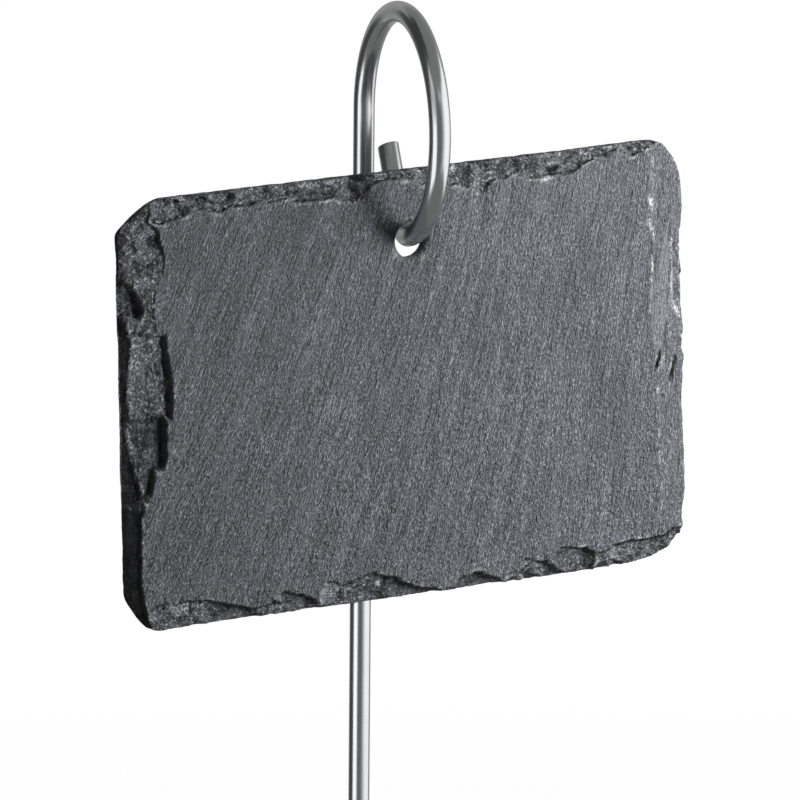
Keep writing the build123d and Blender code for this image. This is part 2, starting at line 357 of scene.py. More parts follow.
# Breaks struck from the front edge when the slate was dressed, in millimetres from the pivot. Each gives how
# wide its inner step is, how rough it broke, how much painted shade darkens it (below 0, how much paler than
# the face it is), how much of it is fresh fracture, and its outline: across, up, and how far below the face
# the stone lies there.
BREAKS = {
    "upper scar": (0.8, 0.8, 0.26, 1, (
        (-70.5, 17, 0.9), (-67.5, 14.9, 0.5), (-68.4, 10.8, 0.5), (-65.9, 8.7, 1.3), (-65.4, 6.1, 1.6),
        (-65, 4.2, 1.3), (-64.1, 2.1, 0.2), (-64.8, -1.1, -0.35), (-67, -5, -0.4), (-67.6, -8, -0.35),
        (-67.5, -11.5, -0.3), (-67, -15.2, 0.4), (-72.5, -14.4, 1.2), (-81.8, -13.8, 2), (-81.4, -2.3, 1.9),
        (-81, 10.3, 1.7), (-77.7, 15.7, 1.5))),
    "pocket": (0.5, 0.5, 0.6, 1, (
        (-74.2, -2.6, 1.9), (-72.5, -4.2, 2.3), (-70.9, -7.5, 2.6), (-70.2, -10, 2.7), (-70.6, -11.4, 2.6),
        (-71.7, -11.9, 2.3), (-74.2, -11.2, 2.1), (-82.2, -9.8, 2.7), (-81.9, -2, 2.5))),
    "terrace": (0.5, 0.7, 0.14, 1, (
        (-64.5, -15.7, 1.9), (-64.2, -19.9, 2.1), (-63.9, -23.5, 2.1), (-63.4, -26.1, 2.1),
        (-63.2, -30.3, 2.1), (-63.8, -35.1, 2), (-69.6, -35.1, 1.8), (-83, -33.1, 1.7), (-82.4, -16, 1.4),
        (-72.8, -13.9, 1.2), (-69, -15, 1.3))),
    "cliff foot": (0.6, 0.9, 0.25, 1, (
        (-67.1, -15, 1.2), (-64.5, -15.7, 1.8), (-64.2, -19.9, 2.1), (-63.9, -23.5, 2.2),
        (-63.4, -26.8, 2.2), (-64.4, -26.7, 2.2), (-65.6, -22.3, 2.1), (-66.5, -19, 2), (-68.5, -16.2, 1.5))),
    "left rim": (0.9, 0.6, 0.9, 1, (
        (-75.5, -10.6, 2.4), (-74.1, -13.5, 2.3), (-72.6, -17.4, 2.2), (-73.3, -21, 2.3),
        (-73.5, -24.7, 2.2), (-74, -29.7, 2.3), (-73.4, -33, 2.3), (-74.5, -35.2, 2.5), (-74.2, -37.9, 2.7),
        (-73.6, -42.3, 2.8), (-72.8, -45.9, 2.8), (-71.8, -49.8, 2.6), (-71.2, -53.2, 2.4),
        (-71.4, -55.4, 2), (-83.7, -53.9, 3.5), (-82.2, -11.4, 3.4))),
    "lower block": (0.5, 1, 0.68, 1, (
        (-63.9, -34.9, 2.3), (-64.9, -35.9, 2.6), (-65.2, -38, 2.7), (-65.2, -41.5, 2.6),
        (-65.5, -46.3, 2.3), (-67.9, -47.2, 1.7), (-68.9, -50.3, 1.6), (-69.8, -53, 1.6), (-71.2, -55, 1.6),
        (-72, -55.8, 1.4), (-83.8, -54.3, 2.8), (-83, -33.3, 2.7))),
    "narrow bevel": (0.7, 0.5, 0.96, 1, (
        (-71, -54.7, 1.3), (-72.2, -57.6, 1.4), (-72.3, -62.1, 1.3), (-72.7, -65.5, 1.3),
        (-72.3, -67.4, 1.4), (-72.8, -70.2, 1.3), (-72.7, -73.7, 1.3), (-72, -77.4, 1.3),
        (-71.4, -80.7, 1.2), (-70.4, -83.4, 1.2), (-72.9, -88.2, 3.4), (-84.7, -84.3, 3.6),
        (-83.6, -51.8, 3.4))),
    "bottom left": (1.2, 0.9, 0.2, 1, (
        (-72.1, -79.4, -0.1), (-68.9, -77.9, -0.2), (-64.3, -78.3, -0.25), (-58.5, -78.1, -0.25),
        (-54.4, -80.3, 0.2), (-51.5, -86.8, 1.3), (-71.4, -88.4, 1.5))),
    "first wedge": (0.8, 0.5, 0.6, 1, (
        (-58, -77.9, 0.05), (-53.6, -79.2, 0.8), (-48.9, -80.7, 1.5), (-45.3, -81.6, 2),
        (-43.8, -82.2, 2.1), (-43.2, -83.1, 2.1), (-41.4, -83.8, 1.6), (-41.5, -88.1, 1.8),
        (-54.1, -88.3, 1.6), (-56, -81.5, 0.4))),
    "first crumbs": (0.5, 1.2, 0, 1, (
        (-43.2, -82.4, 0.4), (-41.9, -81.9, 0.3), (-39.7, -81.5, 0.3), (-38.9, -80.6, 0.5),
        (-36.8, -81.7, 1), (-33.7, -82.2, 1.2), (-32.5, -87.6, 1.6), (-43.1, -87.9, 1.5))),
    "second wedge": (0.8, 0.9, 0.4, 1, (
        (-38.1, -79.4, 0.3), (-35.7, -79.1, 0.6), (-33.9, -79.6, 1.2), (-31.5, -80.6, 1.5),
        (-28.9, -81.3, 1.6), (-27.3, -82, 1.8), (-26.6, -83, 1.8), (-25.8, -84.2, 1.4), (-25.6, -87.8, 1.8),
        (-36.2, -87.8, 1.4), (-37.3, -81.1, 0.5))),
    "pale scoop": (0.6, 0.9, -0.2, 1, (
        (-26.4, -80.6, 0.1), (-25, -78.2, 0.1), (-21.7, -78.9, 0.5), (-19.5, -79.3, 0.9), (-18, -80.9, 1.2),
        (-18.6, -83, 1.3), (-21.4, -87.4, 1.4), (-26.7, -87.6, 1))),
    "third crumbs": (0.6, 1.2, 0, 1, (
        (-19.5, -79.1, 0.3), (-16.9, -78.7, 0.2), (-13.6, -77.9, 0.1), (-11.8, -77.7, 0.4),
        (-10.5, -80.9, 1.1), (-11.8, -87.2, 1.6), (-20.8, -87, 1.5))),
    "fourth wedge": (0.8, 0.9, 0.65, 1, (
        (-12.3, -77.3, 0.5), (-10.2, -78.5, 1), (-7.8, -79.4, 1.3), (-7, -79.1, 1.7), (-5.4, -79.5, 1.9),
        (-4.4, -80.7, 1.9), (-1.7, -82, 2.1), (1.7, -82.9, 2.1), (4.7, -83.7, 2), (7.6, -84.5, 1),
        (7.5, -89.2, 1.6), (-15, -87.7, 1.8), (-15.3, -81.5, 1))),
    "fifth wedge": (0.9, 0.8, 0.6, 1, (
        (9.6, -83, 0.2), (11.2, -81.6, 0.4), (13.4, -81.2, 1.1), (15.3, -81.2, 1.5), (16.9, -81.3, 1.7),
        (18.7, -82.4, 1.9), (20.6, -83, 1.9), (23.1, -84, 1.6), (23.2, -88.4, 1.8), (8.6, -87.9, 1.4))),
    "sixth wedge": (0.6, 0.9, 0.1, 1, (
        (27.2, -81.2, 0.5), (28.3, -79.9, 0.3), (29.4, -79, 0.4), (31.3, -80.3, 1), (33.2, -80.9, 1.2),
        (34.2, -83.1, 1.6), (34.1, -88.3, 1.8), (22.7, -88.3, 1.5), (23.9, -83.2, 0.5))),
    "sixth notch": (0.8, 0.6, 0.65, 1, (
        (28.8, -81.8, 0.8), (31.2, -83.3, 1.9), (33.4, -84.2, 2.1), (33.3, -88.2, 2.2), (27, -87.9, 1.6))),
    "seventh wedge": (0.8, 0.6, 0.65, 1, (
        (34.2, -80.4, 1), (36.2, -82.1, 1.8), (37.5, -83.2, 2), (40.2, -84.2, 1.9), (40.7, -88.2, 1.8),
        (34.1, -88.3, 1.8), (32.9, -81.9, 1))),
    "scoop": (0.8, 0.35, 0.52, 1, (
        (38.7, -77.9, 0.1), (40.9, -78.3, 0.9), (43.1, -78.7, 1.6), (45.3, -78.8, 2.2), (46.5, -79.6, 2.2),
        (48.5, -80.8, 1), (47.9, -82.9, 1), (45.6, -87.9, 1.4), (37.4, -87.8, 1.2), (37, -82.5, 0.3),
        (36.5, -80, 0.1))),
    "bottom right": (0.8, 0.9, 0.24, 1, (
        (48.5, -80.9, 0.3), (50.7, -80.1, 0.3), (53.5, -79, 0.6), (58.2, -78.7, 0.9), (63.2, -78.9, 0.7),
        (66.8, -78.5, 0.3), (69, -76.9, 0.3), (76.8, -77.6, 1.6), (73.8, -88.1, 1.8), (46.2, -88, 1.6))),
    "bottom notch": (0.5, 0.5, 0.4, 1, (
        (52.1, -82.7, 1), (53.4, -82.6, 1.8), (55.1, -83.8, 2), (55.5, -88.2, 2.2), (51.1, -88.6, 1.8))),
    "top": (1.2, 1.7, 0.08, 1, (
        (-68.1, 10.3, 0.75), (-66, 9.4, 0.75), (-62.7, 10.2, 0.75), (-59.3, 10.8, 0.85),
        (-57.7, 12.5, 1.05), (-54.4, 11.6, 0.85), (-49.7, 10.7, 1.05), (-47.6, 11.8, 0.85),
        (-43.7, 11.2, 0.75), (-40.1, 12.2, 0.75), (-36.9, 11.6, 0.75), (-33.3, 11.9, 0.65),
        (-29.3, 12.5, 0.75), (-24.9, 11.1, 0.85), (-22, 10.8, 0.85), (-18.6, 10.4, 0.75),
        (-16.2, 9.7, 0.75), (-12.8, 10.2, 0.85), (-10.3, 12.6, 0.75), (-7.9, 13.5, 0.65),
        (-3.9, 13.8, 0.65), (0.6, 12.8, 0.65), (5.3, 11.8, 0.65), (10.7, 11.3, 0.95), (13.8, 9.5, 1.15),
        (16, 10, 1.05), (19.1, 8, 0.95), (20.8, 9.7, 0.95), (23.8, 10.8, 0.85), (27.6, 11.6, 0.75),
        (31, 10.1, 0.95), (35.9, 10, 1.05), (39.4, 10.4, 0.95), (43.8, 10.4, 0.95), (47.1, 12.4, 0.95),
        (50.9, 13.7, 0.95), (54.2, 14.5, 0.85), (58, 13.8, 0.95), (60.2, 12.4, 0.95), (63.5, 13.3, 0.75),
        (65.7, 14.5, 0.65), (67.7, 19.3, 1.6), (35.1, 19.6, 1.6), (2.9, 19.1, 1.6), (-28.9, 19.2, 1.6),
        (-67.8, 19.1, 1.6))),
    "top left chip": (0.5, 0.5, 0.45, 1, (
        (-62, 15.2, 1.4), (-60.5, 15.3, 2), (-59.5, 13.6, 2.2), (-58.5, 12.1, 2), (-59.1, 11, 1.6),
        (-60.3, 11.8, 1.5), (-61.6, 13.6, 1.5))),
    "top second chip": (0.5, 0.6, 0.4, 1, (
        (-52.8, 13.1, 1.3), (-51.2, 12.7, 1.7), (-49.6, 10.9, 1.9), (-51.3, 10.7, 1.5), (-52.8, 11.9, 1.4))),
    "top dull chip": (1, 1.2, 0.42, 1, (
        (-32.9, 14.3, 1.2), (-27.7, 14.7, 1.2), (-19.8, 14.6, 1.2), (-18.3, 12.8, 1.2), (-21, 11, 1.2),
        (-25.7, 11, 1.2), (-30.4, 11.1, 1.2), (-33.5, 12.3, 1.2))),
    "top chip by loop": (0.5, 0.8, 0.3, 1, (
        (12.1, 15.4, 1.5), (15.6, 15.5, 1.8), (16.3, 12.8, 2), (16, 10, 1.8), (14.1, 10, 1.5),
        (12, 12.5, 1.4))),
    "top middle chip": (0.5, 0.8, 0.3, 1, (
        (18.7, 13.3, 1.3), (20.9, 13.5, 1.7), (22.2, 11.5, 1.8), (19.8, 11, 1.4))),
    "top long chip": (0.5, 0.8, 0.3, 1, (
        (34.9, 11.8, 1.2), (38.1, 13.1, 1.6), (40.9, 12.8, 1.8), (39.7, 11.3, 1.7), (36.5, 10.2, 1.4))),
    "top deep chip": (0.5, 0.8, 0.35, 1, (
        (40.9, 14.3, 1.6), (42, 15.8, 1.8), (45.8, 15.6, 2), (46.8, 13.6, 2), (44.1, 12.5, 1.8),
        (41.1, 12.6, 1.6))),
    "top end chip": (0.5, 0.8, 0.3, 1, (
        (48.2, 14.7, 1.5), (50.2, 15.7, 1.8), (53.4, 15.1, 1.9), (52.8, 13.3, 1.7), (49.6, 13.4, 1.4))),
    "right strip": (0.8, 0.3, -0.01, 0.12, (
        (64.3, 13.7, 0.05), (65.3, 8.9, 0.1), (64.9, 1.8, 0.15), (65, -5.4, 0.15), (64.8, -13.7, 0.15),
        (64.4, -22, 0.15), (64.2, -29.2, 0.1), (65.5, -34.1, 0.2), (65.6, -43.7, 0.15), (65.9, -53.8, 0.1),
        (65.9, -64.9, 0.1), (67.9, -76.2, 0.1), (79.6, -76.7, 0.9), (80.6, -23.8, 0.9), (80.1, 16.9, 0.9))),
    "pale facet": (0.5, 0.2, -0.14, 0.12, (
        (70.3, -0.7, 0.3), (68.2, -8.3, 0.35), (66.3, -16, 0.3), (65.1, -21.4, 0.25), (64.3, -26.3, 0.2),
        (65.2, -32.9, 0.3), (67.7, -34.8, 0.5), (68.9, -28.5, 0.7), (70, -22.6, 0.75), (70.3, -8.3, 0.7))),
    "right rim": (0.5, 0.8, 0, 0.6, (
        (70.4, -8.6, 0.6), (70.4, -15.5, 0.8), (70.4, -22.7, 0.9), (69.3, -25.4, 0.8), (68.9, -29.7, 0.7),
        (69.9, -34.1, 0.9), (72.1, -36.3, 1.2), (77.6, -35.5, 1.6), (78.1, -9.2, 1.5))),
    "crack": (0.35, 0.2, 0.9, 1, (
        (70.5, -36.1, 2), (71.3, -36.2, 2.2), (70.9, -38.6, 2.4), (70, -41.3, 2), (68.9, -42.2, 1),
        (69.2, -40.3, 2))),
    "right groove": (0.5, 0.5, 0.3, 0.8, (
        (66, -34.6, 0.5), (67.4, -34.3, 0.8), (66.8, -36.6, 0.9), (65.4, -39.4, 0.6), (64.6, -39.3, 0.4))),
}

# Strokes that the hammer bruised pale: both ends across and up, width and strength.
MARKS = (
    (65.6, 11.7, 65.7, 9.8, 0.5, 0.5),
    (65, 8.4, 65.3, 6.5, 0.4, 0.4),
    (64.4, 2.7, 64.7, 1.6, 0.55, 0.9),
    (64.9, 1.3, 65.2, 0.1, 0.8, 1),
    (64.1, -2.9, 64.4, -3.9, 0.5, 0.8),
    (64.6, -4.4, 65.1, -5.6, 0.7, 1),
    (65.3, -6.4, 65.4, -7.8, 0.5, 0.8),
    (64.6, -11.5, 64.8, -12.7, 0.5, 0.8),
    (65, -13, 65, -14.7, 0.6, 0.9),
    (64.6, -16.8, 64.6, -18.4, 0.45, 0.7),
    (64.6, -19.2, 64.6, -21.3, 0.45, 0.7),
    (64, -23.6, 64, -24.6, 0.4, 0.7),
    (70.2, -8.3, 70.2, -10, 0.5, 0.8),
    (70.2, -10.7, 70.2, -13.6, 0.35, 0.5),
    (70.1, -14.5, 70.2, -17.9, 0.4, 0.6),
    (70.2, -18.8, 70.2, -22.9, 0.35, 0.6),
    (70.9, -23.9, 71.9, -25.2, 0.6, 0.8),
    (72, -25.5, 72.5, -27.2, 0.6, 0.7),
    (65.3, -31.9, 65.5, -32.9, 0.4, 0.6),
    (65.8, -38.4, 66.1, -39.4, 0.4, 0.7),
    (65.2, -43.2, 66.1, -43.8, 0.5, 0.7),
    (67.7, -35.8, 66.8, -38.1, 0.35, 0.6),
    (65.9, -53.3, 66, -55.8, 0.35, 0.4),
    (65.9, -58.6, 66, -61, 0.35, 0.4),
    (-4.3, -4, -2.8, -5.9, 0.45, 0.5),
    (1.5, -5.3, 3.3, -4.4, 0.4, 0.5),
)

# Small chips along the rim: how far they reach in from each side, how deep they go there, and how much
# painted shade that side's wall gets, most on the left and bottom, which are turned from the light.
RIMS = {
    "left": (1.6, 0.9, 0.85),
    "bottom": (0.8, 0.3, 0.45),
    "right": (0.9, 0.4, 0.15),
    "top": (0.9, 0.4, 0.2),
}


def ripple(x, z, size, seed):
    """A value between -1 and 1 that wanders over the plate, in patches of a size."""
    return noise.noise((x / size, z / size, seed))


def inside_by(outline, x, z):
    """How far a point lies inside a closed outline, below 0 where it lies outside."""
    nearest, within = math.inf, False
    for (x_0, z_0, _), (x_1, z_1, _) in zip(outline, outline[1:] + outline[:1]):
        along_x, along_z = x_1 - x_0, z_1 - z_0
        share = ((x - x_0) * along_x + (z - z_0) * along_z) / (along_x**2 + along_z**2)
        share = min(max(share, 0), 1)
        nearest = min(nearest, math.hypot(x - x_0 - share * along_x, z - z_0 - share * along_z))
        if (z_0 > z) != (z_1 > z) and x < x_0 + (z - z_0) / along_z * along_x:
            within = not within
    return nearest if within else -nearest


def slate_material(slate):
    """Slate, split along its cleavage and left as it broke."""
    # The eye gets a dull cool grey, fine grain that leans one way with pale glints of mica in it, and along
    # the dressed edge rougher breaks whose chips are now pale, now dark.
    material, tree = new_material("riven_slate")
    place = add(tree, "TexCoord", out="Object")
    grain = add(tree, "Attribute", out="Vector", attribute_name="grain")
    fracture, bruise, deep = (
        add(tree, "Attribute", out="Fac", attribute_name=name) for name in ("fracture", "bruise", "deep")
    )
    # Grain is near 0.05 mm across, and is drawn about 0.3 mm across so that it shows.
    patterns = {}
    for name, source, size, detail, roughness in (
        ("flow", grain, (2.2, 26.0, 6.0), 3, 0.6),
        ("streaks", grain, (0.9, 6.0, 2.0), 3, 0.55),
        ("threads", grain, (0.30, 1.2, 0.6), 2, 0.6),
        ("pits", grain, (0.42, 0.85, 0.6), 2, 0.65),
        ("specks", grain, (0.20, 0.62, 0.3), 1, 0.5),
        ("clouds", place, [20 * MM] * 3, 4, 0.6),
        ("grit", place, [0.6 * MM] * 3, 3, 0.7),
        ("crags", place, [4.5 * MM] * 3, 4, 0.65),
    ):
        spot = add(tree, "Mapping", {"Vector": source, "Scale": [1 / step for step in size]})
        kind = {"Scale": 1, "Detail": detail, "Roughness": roughness}
        patterns[name] = add(tree, "TexNoise", {"Vector": spot, **kind}, out="Fac")
    # Chips of the breaks are flat facets that each lean their own way, in two sizes.
    coarse = add(tree, "Math", {0: patterns["grit"], 1: 0.6}, operation="MULTIPLY")
    for name, size, steep in (("chips", 2.4, 1.2), ("crumbs", 0.9, 0.9)):
        spot = add(tree, "Mapping", {"Vector": place, "Scale": [1 / (size * MM)] * 3})
        middle = add(tree, "TexVoronoi", {"Vector": spot, "Scale": 1}, out="Position")
        tint = middle.node.outputs["Color"]
        patterns[name] = add(tree, "SeparateXYZ", {0: tint}, out="X")
        lean = add(tree, "VectorMath", {0: tint, 1: (0.5, 0.5, 0.5)}, operation="SUBTRACT")
        away = add(tree, "VectorMath", {0: spot, 1: middle}, operation="SUBTRACT")
        facet = add(tree, "VectorMath", {0: lean, 1: away}, out="Value", operation="DOT_PRODUCT")
        coarse = add(tree, "Math", {0: facet, 1: steep * size, 2: coarse}, operation="MULTIPLY_ADD")
    stone, dark, painted_shade_tint, pale, bright = (
        (*tint, 1)
        for tint in (slate.stone, slate.stone_dark, slate.stone_painted_shade, slate.stone_pale, slate.scuff)
    )
    # Each layer tints a ground where its pattern goes from its start to full, by so much at most.
    grounds = {
        "face": (
            ("flow", 0.52, 0.34, 0.22, dark),
            ("flow", 0.54, 0.7, 0.16, pale),
            ("streaks", 0.56, 0.36, 0.45, dark),
            ("threads", 0.46, 0.36, 0.35, dark),
            ("threads", 0.58, 0.7, 0.5, pale),
            ("specks", 0.52, 0.64, 0.34, pale),
            ("specks", 0.48, 0.36, 0.38, dark),
        ),
        "break": (
            ("crags", 0.5, 0.34, 0.6, dark),
            ("crags", 0.52, 0.7, 0.3, pale),
            ("chips", 0.35, 0, 0.4, dark),
            ("crumbs", 0.75, 1, 0.35, pale),
            ("crumbs", 0.3, 0, 0.3, dark),
            ("grit", 0.54, 0.66, 0.8, bright),
            ("grit", 0.46, 0.36, 0.45, dark),
        ),
    }
    tones = {}
    for ground, layers in grounds.items():
        tone = stone
        for pattern, start, full, most, tint in layers:
            span = {"From Min": start, "From Max": full, "To Max": most}
            share = add(tree, "MapRange", {"Value": patterns[pattern], **span})
            tone = add(tree, "Mix", {0: share, COLOUR_A: tone, COLOUR_B: tint}, **OF_COLOURS)
        tones[ground] = tone
    both = {COLOUR_A: tones["face"], COLOUR_B: tones["break"]}
    surface = add(tree, "Mix", {0: fracture, **both}, **OF_COLOURS)
    span = {"From Min": 0.7, "From Max": 0.3, "To Max": 0.3}
    cloud = add(tree, "MapRange", {"Value": patterns["clouds"], **span})
    # Painted shade: breaks are darkened the deeper they go below the face, most on the sides turned from the
    # light, and a few are paler than it.
    shade = add(tree, "MapRange", {"Value": deep})
    light = add(tree, "MapRange", {"Value": deep, "From Max": -1})
    # The hammer's bruises and the painted highlight along the lips of deep breaks whiten in grains.
    chalk = add(tree, "MapRange", {"Value": patterns["grit"], "From Min": 0.4, "From Max": 0.52})
    chalk = add(tree, "Math", {0: bruise, 1: chalk}, operation="MULTIPLY")
    for share, tint in ((cloud, dark), (shade, painted_shade_tint), (light, pale), (chalk, bright)):
        surface = add(tree, "Mix", {0: share, COLOUR_A: surface, COLOUR_B: tint}, **OF_COLOURS)
    fine = add(tree, "Math", {0: patterns["threads"], 1: 0.6, 2: patterns["pits"]}, operation="MULTIPLY_ADD")
    fine = add(tree, "Math", {0: patterns["streaks"], 1: fine}, operation="ADD")
    height = add(tree, "Mix", {0: fracture, VALUE_A: fine, VALUE_B: coarse}, data_type="FLOAT")
    # Along the grain, rough streaks of the face lie between calmer ones.
    span = {"From Min": 0.36, "From Max": 0.64, "To Min": 0.6, "To Max": 1.15}
    rough = add(tree, "MapRange", {"Value": patterns["flow"], **span})
    rough = add(tree, "Mix", {0: fracture, VALUE_A: rough, VALUE_B: 1}, data_type="FLOAT")
    relief = add(tree, "Bump", {"Height": height, "Strength": rough, "Distance": 1.9 * MM})
    span = {"From Min": 0.3, "From Max": 0.7, "To Min": 0.72, "To Max": 0.5}
    sheen = add(tree, "MapRange", {"Value": patterns["threads"], **span})
    shader = add(
        tree,
        "BsdfPrincipled",
        {"Base Color": surface, "Roughness": sheen, "Specular IOR Level": 0.3, "Normal": relief},
    )
    add(tree, "OutputMaterial", {"Surface": shader})
    return material


def stations(span, rim, fine, coarse):
    """Shares of a span, closely spaced near both ends and wider apart between them."""
    edge_steps = round(rim / fine)
    middle_steps = round((span - 2 * rim) / coarse)
    steps = [fine] * edge_steps + [coarse] * middle_steps + [fine] * edge_steps
    marks = [0]
    for step in steps:
        marks.append(marks[-1] + step)
    return [mark / marks[-1] for mark in marks]


def resampled(points, shares):
    """Points at shares of a polyline's length."""
    runs = [0]
    for start, end in zip(points, points[1:]):
        runs.append(runs[-1] + (end - start).length)
    found, part = [], 0
    for share in shares:
        reach = share * runs[-1]
        while part < len(points) - 2 and runs[part + 1] < reach:
            part += 1
        inside = (reach - runs[part]) / (runs[part + 1] - runs[part])
        found.append(points[part].lerp(points[part + 1], min(inside, 1)))
    return found


def eased(points, rounds):
    """Softens a polyline's corners, with its ends held."""
    for _ in range(rounds):
        inner = [(a + 2 * b + c) / 4 for a, b, c in zip(points, points[1:], points[2:])]
        points = [points[0], *inner, points[-1]]
    return points


class SlateShape:
    """The plate laid flat about its pivot: X to the right, Z up, its front towards -Y, in millimetres."""

    def __init__(self, slate):
        self.thickness = slate.thickness / MM
        self.left = -slate.width / MM / 2 - slate.hole_off_middle / MM
        self.right = self.left + slate.width / MM
        self.top = (slate.hole_below_top - slate.hole_below_pivot) / MM
        self.bottom = self.top - slate.height / MM
        self.hole_radius = slate.hole / MM / 2
        self.hole_middle = Vector((0, 0, -slate.hole_below_pivot / MM))
        # The mesh is fine over this width along the edge, which holds every break.
        rim = 14
        fine, coarse = slate.fine / MM, slate.coarse / MM
        self.across = stations(self.right - self.left, rim, fine, coarse)
        self.upward = stations(self.top - self.bottom, rim, fine, coarse)
        self.sides = self.outline()
        self.find = kdtree.KDTree(sum(len(side) for side in self.sides.values()))
        self.rim_points = []
        for name, side in self.sides.items():
            for point in side:
                self.find.insert(point, len(self.rim_points))
                self.rim_points.append(name)
        self.find.balance()
        self.breaks = []
        margin = 1
        for broken in BREAKS.values():
            across, up, _ = zip(*broken[-1])
            reach = (min(across) - margin, max(across) + margin, min(up) - margin, max(up) + margin)
            self.breaks.append((reach, broken))

    def outline(self):
        """The four sides of the outline from corner to corner, worn ragged by dressing."""
        left, right, top, bottom = self.left, self.right, self.top, self.bottom
        corners = {
            "bottom_left": (left + 3.2, bottom + 3.2),
            "bottom_right": (right - 4.5, bottom + 3.1),
            "top_left": (left + 4.6, top - 3.5),
            "top_right": (right - 3.5, top - 2.9),
        }
        # Each side's two corners and its points between them, across and up, counted from its base line.
        runs = {
            "left": ("bottom_left", "top_left", (
                (-0.2, bottom + 8), (-0.4, -72), (-0.25, -66), (-0.18, -60), (-0.2, -50), (-0.15, -42),
                (0.08, -36), (0, -30), (0.12, -24), (0.32, -18), (0.1, -12), (0.15, -2), (0.4, 4),
                (-0.1, top - 7.2),
            )),
            "right": ("bottom_right", "top_right", (
                (-1, bottom + 6.8), (-1.5, bottom + 10.5), (-0.6, -70), (-0.4, -67), (-0.5, -60),
                (-0.65, -55), (-0.9, -50), (-0.8, -45), (-0.6, -40), (0.1, -36), (0.1, -29), (-0.1, -26),
                (-0.5, -20), (-0.4, -14), (-0.3, -11), (-0.95, -8), (-0.5, -5), (0.15, 0),
                (-0.3, top - 9), (-1.45, top - 5.2),
            )),
            "bottom": ("bottom_left", "bottom_right", (
                (left + 6, -0.05), (-68, 0.3), (-64, 0.5), (-56, 0.55), (-52, 0.25), (-40, 0.3),
                (-20, 0.2), (-9, 0), (0, -0.08), (8, 0.2), (14, 0.05), (25, 0.12), (32, -0.18),
                (40, -0.15), (50, 0.15), (right - 16, 0.3), (right - 12.7, 0.75), (right - 9.7, 1.35),
                (right - 7.2, 2.05),
            )),
            "top": ("top_left", "top_right", (
                (left + 8.9, -0.4), (left + 10.5, 0.35), (left + 13.5, 0.25), (10, 0.25), (40, 0.2),
                (right - 8.5, 0.45), (right - 5.4, 0.1),
            )),
        }
        base = {"left": left, "right": right, "bottom": bottom - 0.4, "top": top}
        inward = {"left": (1, 0, 0), "right": (-1, 0, 0), "bottom": (0, 0, 1), "top": (0, 0, -1)}
        samples, ease_rounds, calm_ends = 200, 14, 6
        sides = {}
        for name, (start, end, between) in runs.items():
            upright = name in ("left", "right")
            inner = [(base[name] + p, q) if upright else (p, base[name] + q) for p, q in between]
            points = [Vector((x, 0, z)) for x, z in (corners[start], *inner, corners[end])]
            dense = resampled(points, [i / samples for i in range(samples + 1)])
            shares = self.upward if upright else self.across
            side = resampled(eased(dense, ease_rounds), shares)
            for point in side[1:-1]:
                ragged = 0.12 * (1 + noise.noise(point / 3.1)) + 0.08 * (1 + noise.noise(point / 1.1))
                ragged *= 0.5 if name == "bottom" else 1
                ends = min((point - side[0]).length, (point - side[-1]).length)
                point += Vector(inward[name]) * ragged * smooth_step(0, calm_ends, ends)
            sides[name] = side
        return sides

    def point(self, column, row):
        """A point of the plate's grid, spread between the four sides."""
        s, t = self.across[column], self.upward[row]
        bottom, top = self.sides["bottom"], self.sides["top"]
        left, right = self.sides["left"], self.sides["right"]
        straight = (bottom[0].lerp(bottom[-1], s)).lerp(top[0].lerp(top[-1], s), t)
        return bottom[column].lerp(top[column], t) + left[row].lerp(right[row], s) - straight

    def grain(self, x, z):
        """Where a point lies across the fan of the grain, and along it."""
        middle, turn = math.radians(68.5), math.radians(0.15)
        lean = math.cos(middle + turn * x) * math.exp(turn * z)
        return (math.acos(lean) - middle) / turn, z

    def face_relief(self, x, z, seed):
        """How far the riven face dips below its plane, before dressing."""
        across, along = self.grain(x, z)
        mean_dip = 0.32
        broad = 0.14 * noise.noise((x / 34, z / 26, seed))
        swells = 0.13 * noise.noise((across / 6, along / 13, seed + 3))
        ridges = 0.07 * noise.noise((across / 2.8, along / 9, seed + 5))
        return mean_dip + broad + swells + ridges

    def dressed(self, x, z):
        """How far dressing took the front down at a point, how broken it left it, and the painted shade and
        painted highlight of its breaks.
        """
        dressed_width, lip_width, dark_tone, spread = 16, 0.7, 0.7, 0.2
        _, index, edge = self.find.find(Vector((x, 0, z)))
        if edge > dressed_width:
            return 0, 0, 0, 0
        wander = 0.45 * ripple(x, z, 2.4, 1) + 0.3 * ripple(x, z, 0.9, 2)
        chips = self.chips(x, z, 3.4, 0.7) + self.chips(x, z, 1.4, 0.8)
        ragged = 0.6 * smooth_step(-0.2, 0.4, ripple(x, z, 2.2, 11))
        depth, fracture, dark, lip, shaded = 0, 0, 0, 0, 0
        for (low_x, high_x, low_z, high_z), (run, rough, tone, fresh, outline) in self.breaks:
            if not (low_x < x < high_x and low_z < z < high_z):
                continue
            inside = inside_by(outline, x, z) + wander * rough
            if inside <= -lip_width:
                continue
            weights = [1 / ((x - at_x) ** 2 + (z - at_z) ** 2 + spread) for at_x, at_z, _ in outline]
            floor = sum(w * at[2] for w, at in zip(weights, outline)) / sum(weights)
            # Painted highlight: the lip of a deep break is painted pale in places.
            at_lip = 1 - smooth_step(0, 0.5, abs(inside + 0.2))
            lip = max(lip, ragged * fresh * smooth_step(0.1, 1, floor) * at_lip)
            if inside <= 0:
                continue
            if tone >= dark_tone:
                shaded = max(shaded, inside)
            sunk = floor * smooth_step(0, run, inside) + chips * rough * smooth_step(0, 1.5, inside)
            # Painted shade on the steep wall below a deep step.
            cliff = smooth_step(0.5, 1.6, floor) * (1 - smooth_step(0.8 * run, 1.8 * run, inside))
            if sunk > depth:
                depth = sunk
